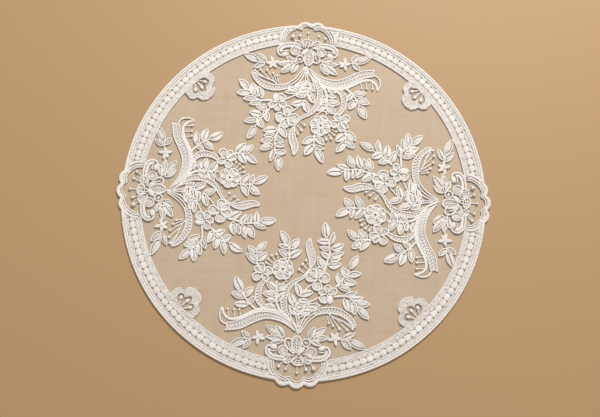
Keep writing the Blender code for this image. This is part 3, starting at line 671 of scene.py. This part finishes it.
    def braid(self, one, other, edges, rows=1):
        """Two edge cords tied by one or two rows of zigzag thread."""
        a, b = matched(curve(one), curve(other))
        run = run_along((a + b) / 2)
        lines = [(a, edges[0], None), (b, edges[1], None), ((a + b) / 2, BRAID_THREAD, 0.8)]
        for line, width, height in lines[:rows + 1]:
            self.cord(line, width, height, 0.1, smooth=False)
        for row in range(rows):
            at = BRAID_PITCH * 0.5 * (1 + row)
            lean = 1
            while at < run[-1] - 0.6:
                ends = []
                for share, shift in ((row / rows, -lean), ((row + 1) / rows, lean)):
                    place = at + shift * BRAID_PITCH * 0.3
                    line = a * (1 - share) + b * share
                    ends.append([np.interp(place, run, line[:, i]) for i in range(2)])
                if dist(*ends) > 0.8:
                    self.cord(ends, BRAID_THREAD, 0.6, 0.1, sides=6)
                at += BRAID_PITCH * self.rng.uniform(0.92, 1.08)
                lean = -lean

    def bent(self, radius):
        """Bends what is laid out straight round the centre: x is the length along a circle of the
        given radius, and -y the distance from the centre."""
        for part in self.points:
            part[:, :2] = polar(-part[:, 1], part[:, 0] / radius)


# ---- placing a piece ----
def lie(x, y):
    """Height of the net over the surface, in millimetres: flat at the rim, gently uneven inside."""
    reach = np.clip(np.hypot(x, y) / (RIM_RADIUS - RIM_WIDTH), 0, 1)
    wave = np.sin(x / 21 + 0.6 * np.sin(y / 34)) * np.cos(y / 27 - 0.4) + 0.6 * np.sin((x + y) / 15 + 1.1)
    return NET_LIFT + NET_WAVE * wave * (1 - reach ** 4)


def placed(name, data):
    """New object of the scene."""
    made = bpy.data.objects.new(name, data)
    bpy.context.scene.collection.objects.link(made)
    return made


def mesh_object(name, points, faces, material):
    """Smooth mesh from points in millimetres."""
    data = bpy.data.meshes.new(name)
    data.from_pydata((points * MM).tolist(), [], faces)
    data.shade_smooth()
    data.materials.append(material)
    return placed(name, data)


def make_piece(node, work, quarter, material, motif):
    """Object from gathered thread shapes, turned to its motif and laid on the net. A spray is also
    set off to one side and turned a little, as each hand-guided motif is."""
    points = np.vstack(work.points)
    if motif:
        share = np.clip((points[:, 1:2] - SPRAY_FOOT) / (SPRAY_TIPS - SPRAY_FOOT), 0, 1)
        foot, tips = np.array(motif.foot), np.array(motif.tips)
        points[:, :2] += foot + (tips - foot) * share
    points[:, :2] = turned(points[:, 0], points[:, 1], quarter * pi / 2)
    points[:, 2] += lie(points[:, 0], points[:, 1]) + THREAD_BASE
    made = mesh_object("lace_" + node, points, work.faces, material)
    data = made.data
    stitch = data.attributes.new("stitch", "FLOAT_VECTOR", "POINT")
    stitch.data.foreach_set("vector", np.vstack(work.stitch).astype(np.float32).ravel())
    mesh = bmesh.new()
    mesh.from_mesh(data)
    bmesh.ops.remove_doubles(mesh, verts=mesh.verts, dist=1e-7)
    bmesh.ops.recalc_face_normals(mesh, faces=mesh.faces)
    mesh.to_mesh(data)
    mesh.free()
    data.set_sharp_from_angle(angle=SHARP_ANGLE)
    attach(made, "root")
    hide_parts(node)
    return made


# ---- the pieces ----
def ray_to_circle(angle, x, y, radius):
    """How far from the centre a ray at an angle from -Y leaves a circle."""
    along = polar(1, angle) @ (x, y)
    inside = radius * radius - (x * x + y * y - along * along)
    return along + sqrt(inside) if inside > 0 else 0.0


def edge_radius(angle, motif):
    """Outer edge of the doily near one medallion: the rim or the farthest scallop."""
    reach = RIM_RADIUS
    for count in range(-LOBES_EACH_SIDE, LOBES_EACH_SIDE + 1):
        x = count * LOBE_SPACING + motif.shift
        if abs(x) <= LOBE_LIMIT * LOBE_SPACING:
            y = -(motif.reach - LOBE_FALL * x * x - LOBE_RADIUS)
            reach = max(reach, ray_to_circle(angle, x, y, LOBE_RADIUS))
    return reach


def spray(quarter):
    """Flower spray: scrolls, stems, leaf sprigs, flowers and berries."""
    work = Work(40 + quarter)
    for row in SCROLLS:
        work.braid(*row)
    for row in CORDS:
        work.cord(*row)
    for row in SPRIGS:
        work.cord(row.stem, (2.2, 1.8, 1.3), 1.2, 0.1)
        for leaf in row.leaves:
            work.leaf(*leaf, bow=work.rng.uniform(-0.07, 0.07), base=work.rng.uniform(0.05, 0.3))
    work.wheel(**WHEEL)
    for row in FLOWERS:
        work.flower(*row)
    work.dome(**SMOOTH_PETAL)
    for row in BERRIES:
        work.berry(*row)
    return work


def side_cords(work, line, side, shift, inside, width, height, base):
    """Cords along a line, on both sides of the medallion's middle."""
    for sign in (-1, 1):
        part = (line + side * inside)[sign * (line[:, 0] - shift) > SIDE_CORDS_FROM]
        work.cord(part, width, height, base, smooth=False)


def scalloped_edge(work, motif):
    """Satin and a cord along the medallion's outer edge. Returns a line just inside that edge."""
    angles = np.linspace(-HALF_ANGLE, HALF_ANGLE, 61)
    reach = np.array([edge_radius(a, motif) for a in angles])
    edge = polar(reach, angles)
    inward = sideways(edge)
    work.strip(edge + inward * 0.02, edge + inward * EDGE_SATIN, SATIN_PROFILE, 2.3, RIM_BASE)
    side_cords(work, edge, inward, 0, **EDGE_CORD)
    return edge + inward


def window(work, edge, shift):
    """Cords round the open window, and the stitched ground between it and the edge."""
    line = curve(WINDOW_EDGE, 1) + (shift, 0)
    side = sideways(line)
    for row in WINDOW_CORDS:
        work.cord(line - side * row.out, row.width, row.height, 0.1, smooth=False)
    side_cords(work, line, side, shift, **FRAME_CORD)
    corners = [polar(RIM_RADIUS - RIM_WIDTH, sign * HALF_ANGLE) for sign in (-1, 1)]
    outer = np.vstack([corners[0], edge, corners[1]])
    work.woven(*matched(spaced(outer, KNOT), line - side), WINDOW_GROUND, 1.5, RIM_BASE)


def heart(work):
    """Flower at the medallion's heart: netted petals, ringed balls, a bud, cords and a pillow."""
    for row in HEART_PETALS:
        work.petal(*row)
    for row in HEART_RINGS:
        work.ring(row.x, row.y, row.radius, row.width, 1.5, 0.2, sides=16, step=STEP)
        work.ridges(row.x, row.y, row.inner, row.turn)
    for row in HEART_CORDS:
        work.cord(row.path, row.width, 1.2, 0.15)
    work.braid(**HEART_BUD)
    work.dome(**HEART_PILLOW)
    work.ring(**HEART_EYE)


def volutes(work):
    """The two scrolls that end in a ball, one either side of the heart."""
    for sign in (1, -1):
        flip = np.array([sign, 1])
        path = np.array(VOLUTE) * flip
        work.cord(path, (1.8, 2.2, 2.4, 2.3, 1.8), 1.7, 0)
        line = curve(path)
        inner = (line + sideways(line) * sign * VOLUTE_INSIDE)[3:-3]
        work.cord(inner, 2.9, 1.35, 0.1, smooth=False)
        x, y, turn = VOLUTE_BALL
        work.dome(sign * x, y, 3.9, 2.7, sign * turn, 1.7, 0.15, 20)
        work.cord(np.array(VOLUTE_CURL) * flip, 1.2, 1.1, 0.1)


def medallion(quarter, motif):
    """Scalloped frame round an open window, with a heart flower, volutes and rim leaves."""
    work = Work(20 + quarter)
    heart(work)
    volutes(work)
    for path in RIM_STEMS:
        work.cord(path, 1.4, 1, 0.05)
    for row in RIM_LEAVES:
        work.leaf(*row)
    for row in RIM_STARS:
        for petal in row.petals:
            work.ray(*row.eye, *petal, STAR_WIDTH, 0.2)
        work.bead(*row.eye, 2.4, 0.5)
    for row in STAMENS:
        work.berry(*row)
    for part in work.points:
        part[:, 0] += motif.window
    window(work, scalloped_edge(work, motif), motif.window)
    return work


def rosette(quarter):
    """Small lobed rosette with a window of three drops and a stamen in each."""
    work = Work(60 + quarter)
    work.woven(*matched(curve(ROSETTE_OUTER, KNOT), curve(ROSETTE_INNER, KNOT)), ROSETTE_PROFILE,
               ROSETTE_HEIGHT, 0)
    for row in ROSETTE_STAMENS:
        work.cord([row.foot, row.tip], (1.2, 1.5), 1.1, 0.1)
        work.dome(*row.tip, row.rx, row.ry, row.turn)
    return work


def block(work, start, end):
    """Padded lump between two eyelets, laid out straight."""
    head, foot = UPPER_EYELET / 2, LOWER_EYELET / 2
    near, far = BLOCK_WAIST
    corners = [(start + head, -BLOCK_HEAD), (end - head, -BLOCK_HEAD), (end + BLOCK_OVERLAP, -near),
               (end + BLOCK_OVERLAP, -far), (end - foot, -BLOCK_FOOT), (start + foot, -BLOCK_FOOT),
               (start - BLOCK_OVERLAP, -far), (start - BLOCK_OVERLAP, -near)]
    outline = spaced(np.array(corners), 0.9, closed=True)
    work.pad(outline, outline.mean(axis=0), PILLOW, BLOCK_HEIGHT, RIM_BASE, straight=True)


def band(quarter):
    """Rim band between two medallions: cords, woven strips and blocks round the eyelets."""
    work = Work(80 + quarter)
    first = HALF_ANGLE + 0.001
    x0, x1 = first * EYELET_RADIUS, (pi / 2 - first) * EYELET_RADIUS
    along = np.linspace(x0, x1, int((x1 - x0) / KNOT) + 1)
    for inner, outer, height in WOVEN_STRIPS:
        shares = np.linspace(-0.92, 0.92, max(3, round((outer - inner) / KNOT) + 1))
        edges = [np.column_stack([along, np.full(len(along), -reach)]) for reach in (inner, outer)]
        profile = ((-1, 0), *((share, 1) for share in shares), (1, 0))
        work.woven(*edges, profile, height, RIM_BASE)
    for row in BAND_CORDS:
        ends = [(x0 - BAND_OVERLAP, -row.radius), (x1 + BAND_OVERLAP, -row.radius)]
        work.cord(ends, row.width, row.height, RIM_BASE, step=1.1)
    eyelets = list(np.arange(FIRST_EYELET, x1 - 1.5, PITCH))
    for start, end in zip([x0] + eyelets, eyelets + [x1]):
        block(work, start, end)
    middle = sum(BLOCK_WAIST) / 2
    for x in eyelets:
        for lean in (-TIE_REACH, TIE_REACH):
            work.cord([(x - lean, -middle - TIE_REACH), (x + lean, -middle + TIE_REACH)], TIE_WIDTH, 0.5,
                      RIM_BASE + TIE_LIFT, sides=6)
    work.bent(EYELET_RADIUS)
    return work


# ---- materials ----
class Nodes:
    """Node tree of one new material, whose shader has the given values."""

    def __init__(self, name, looks):
        self.material = bpy.data.materials.new(name)
        self.material.use_nodes = True
        self.tree = self.material.node_tree
        self.shader = self.tree.nodes["Principled BSDF"]
        self.feed(self.shader, looks)

    def feed(self, made, inputs):
        """Gives sockets their values or links."""
        for socket, value in inputs.items():
            if isinstance(value, bpy.types.NodeSocket):
                self.tree.links.new(value, made.inputs[socket])
            else:
                made.inputs[socket].default_value = value

    def add(self, kind, inputs, **settings):
        """New node. Returns its outputs."""
        made = self.tree.nodes.new("ShaderNode" + kind)
        for key, value in settings.items():
            setattr(made, key, value)
        self.feed(made, inputs)
        return made.outputs

    def math(self, operation, *values):
        return self.add("Math", dict(enumerate(values)), operation=operation)[0]

    def plus(self, *values):
        return self.math("ADD", *values)

    def times(self, *values):
        return self.math("MULTIPLY", *values)


def thread_material(name, light, shade):
    """Satin-stitched thread: fine ridges, with painted shade in the creases and between the stitches, and a
    random tone of its own.
    """
    made = Nodes(name, {"Sheen Weight": 0.25, "Sheen Roughness": 0.4, "Specular IOR Level": 0.35})
    plus, times = made.plus, made.times
    stitch = made.add("Attribute", {}, attribute_name="stitch")["Vector"]
    along, across, tone = made.add("SeparateXYZ", {0: stitch})
    place = made.add("TexCoord", {})["Object"]
    fuzz = made.add("TexNoise", {"Vector": place, "Scale": 2600, "Detail": 3})["Fac"]
    broad = made.add("TexNoise", {"Vector": place, "Scale": 160})["Fac"]
    turn = plus(times(along, 2 * pi / STITCH_PITCH), times(fuzz, 1.6))
    ridge = made.math("ABSOLUTE", made.math("SINE", turn))
    bump = made.add("Bump", {"Height": plus(ridge, times(fuzz, 0.5)), "Strength": 0.7, "Distance": 0.00012})
    # Painted shade in the creases and between the stitch ridges; tone and broad are the thread's own random
    # tone.
    crease_shade = made.math("POWER", made.math("ABSOLUTE", across), CREASE_POWER)
    valley_shade = times(made.math("SUBTRACT", 1, ridge), 0.22)
    amount = plus(times(crease_shade, 0.45), plus(valley_shade, plus(times(tone, 0.06), times(broad, 0.16))))
    colour = made.add("Mix", {"Factor": amount, "A": light, "B": shade}, data_type="RGBA", clamp_factor=True)
    made.feed(made.shader, {"Normal": bump[0], "Base Color": colour["Result"],
                            "Roughness": plus(0.52, times(fuzz, 0.22))})
    return made.material


def net_material():
    """Sheer plain-woven net, see-through between fine and thicker threads."""
    looks = {"Base Color": (0.82, 0.68, 0.515, 1), "Roughness": 0.75, "Sheen Weight": 0.2}
    made = Nodes("sheer_net", looks)
    plus, times = made.plus, made.times
    place = made.add("TexCoord", {})["Object"]
    threads = []
    for socket in list(made.add("SeparateXYZ", {0: place}))[:2]:
        wave = made.math("SINE", times(socket, 2 * pi / NET_PITCH))
        threads.append(made.math("POWER", made.math("ABSOLUTE", wave), 3))
    weave = made.math("MAXIMUM", *threads)
    cloud = made.add("TexNoise", {"Vector": place, "Scale": 38, "Detail": 4})["Fac"]
    streaks = []
    for stretch in ((9, 210, 1), (170, 14, 1)):
        spot = made.add("Mapping", {"Vector": place, "Scale": stretch})["Vector"]
        streaks.append(made.add("TexNoise", {"Vector": spot, "Scale": 1, "Detail": 2})["Fac"])
    patchy = plus(times(cloud, 0.16), times(plus(*streaks), 0.13))
    cover = plus(times(weave, 0.26), made.math("SUBTRACT", patchy, 0.03))
    bump = made.add("Bump", {"Height": weave, "Strength": 0.4, "Distance": 0.00008})
    made.feed(made.shader, {"Normal": bump[0], "Alpha": cover})
    return made.material


def floor_material():
    return Nodes("plain_floor", {"Base Color": (0.435, 0.267, 0.122, 1), "Roughness": 0.6}).material


# ---- the net ----
def make_net(material):
    """Sheer round sheet inside the embroidered edge, gently uneven."""
    plan, faces = [], []
    for spoke in range(NET_SPOKES):
        turn = 2 * pi * spoke / NET_SPOKES
        quarter = round(turn / (pi / 2)) % 4
        away = (turn - quarter * pi / 2 + pi) % (2 * pi) - pi
        reach = edge_radius(away, MOTIFS[quarter]) - GROUND_INSET - 0.5
        plan += [polar(reach * ring / NET_RINGS, turn) for ring in range(1, NET_RINGS + 1)]
        a, b = spoke * NET_RINGS, (spoke + 1) % NET_SPOKES * NET_RINGS
        faces.append((NET_SPOKES * NET_RINGS, a, b))
        faces += [(a + ring, a + ring + 1, b + ring + 1, b + ring) for ring in range(NET_RINGS - 1)]
    plan = np.array(plan + [(0, 0)])
    made = mesh_object("net", np.column_stack([plan, lie(*plan.T)]), faces, material)
    thick = made.modifiers.new("thickness", "SOLIDIFY")
    thick.thickness = NET_THICK * MM
    thick.offset = -1.0
    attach(made, "root")
    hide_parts("ground")
    return made


# ---- stage, light and camera ----
def make_camera():
    """Camera that looks down at the doily a little from the front."""
    data = bpy.data.cameras.new("camera")
    data.sensor_width, data.lens = 36, LENS
    data.clip_start, data.clip_end = 0.01, 20.0
    made = placed("camera", data)
    turn, tilt, roll = (Matrix.Rotation(angle, 4, axis) for angle, axis in
                        ((-DOILY_TURN, "Z"), (CAMERA_TILT, "X"), (-CAMERA_ROLL, "Z")))
    target, away = (Matrix.Translation(RIM_RADIUS * MM * Vector(place)) for place in (LOOK_AT, CAMERA_AWAY))
    made.matrix_world = turn @ target @ tilt @ away @ roll
    bpy.context.scene.camera = made


def area_light(name, place, size, power, colour):
    """Round lamp that faces the doily."""
    data = bpy.data.lights.new(name, "AREA")
    data.shape, data.size, data.energy, data.color = "DISK", size, power, colour
    placed(name, data).matrix_world = Matrix.LocRotScale(place, Vector(place).to_track_quat("Z", "Y"), None)


def make_stage():
    """Plain floor, two lamps and a pale surround."""
    corners = FLOOR_HALF * np.array([(-1, -1, 0), (1, -1, 0), (1, 1, 0), (-1, 1, 0)])
    floor = mesh_object("floor", corners, [(0, 1, 2, 3)], floor_material())
    for row in LAMPS:
        area_light(*row)
    world = bpy.data.worlds.new("studio")
    world.use_nodes = True
    surround = world.node_tree.nodes["Background"].inputs
    surround["Color"].default_value = (0.96, 0.97, 1, 1)
    surround["Strength"].default_value = 0.36
    scene = bpy.context.scene
    scene.world, scene.view_settings.view_transform = world, "Standard"


# ---- build ----
def build():
    """All pieces, then the stage and the camera."""
    # The second colour of each thread is where painted shade and its random tone lead. The material for the
    # sprays is the same thread painted lighter, with paler painted shade, to stand in for the light the
    # rounder spray cords catch.
    thread = thread_material("ivory_thread", (0.955, 0.9, 0.835, 1), (0.40, 0.32, 0.25, 1))
    cord = thread_material("ivory_thread_lit", (0.975, 0.925, 0.865, 1), (0.64, 0.555, 0.475, 1))
    net = make_net(net_material())
    for quarter, motif in enumerate(MOTIFS):
        name, number = motif.name, str(quarter + 1)
        for piece in (
                ("spray_" + name, spray(quarter), quarter, cord, motif),
                ("medallion_" + name, medallion(quarter, motif), quarter, thread, None),
                ("band_" + number, band(quarter), quarter, thread, None),
                ("rosette_" + number, rosette(quarter), quarter + 0.5, thread, None)):
            make_piece(*piece)
    make_stage()
    make_camera()


build()
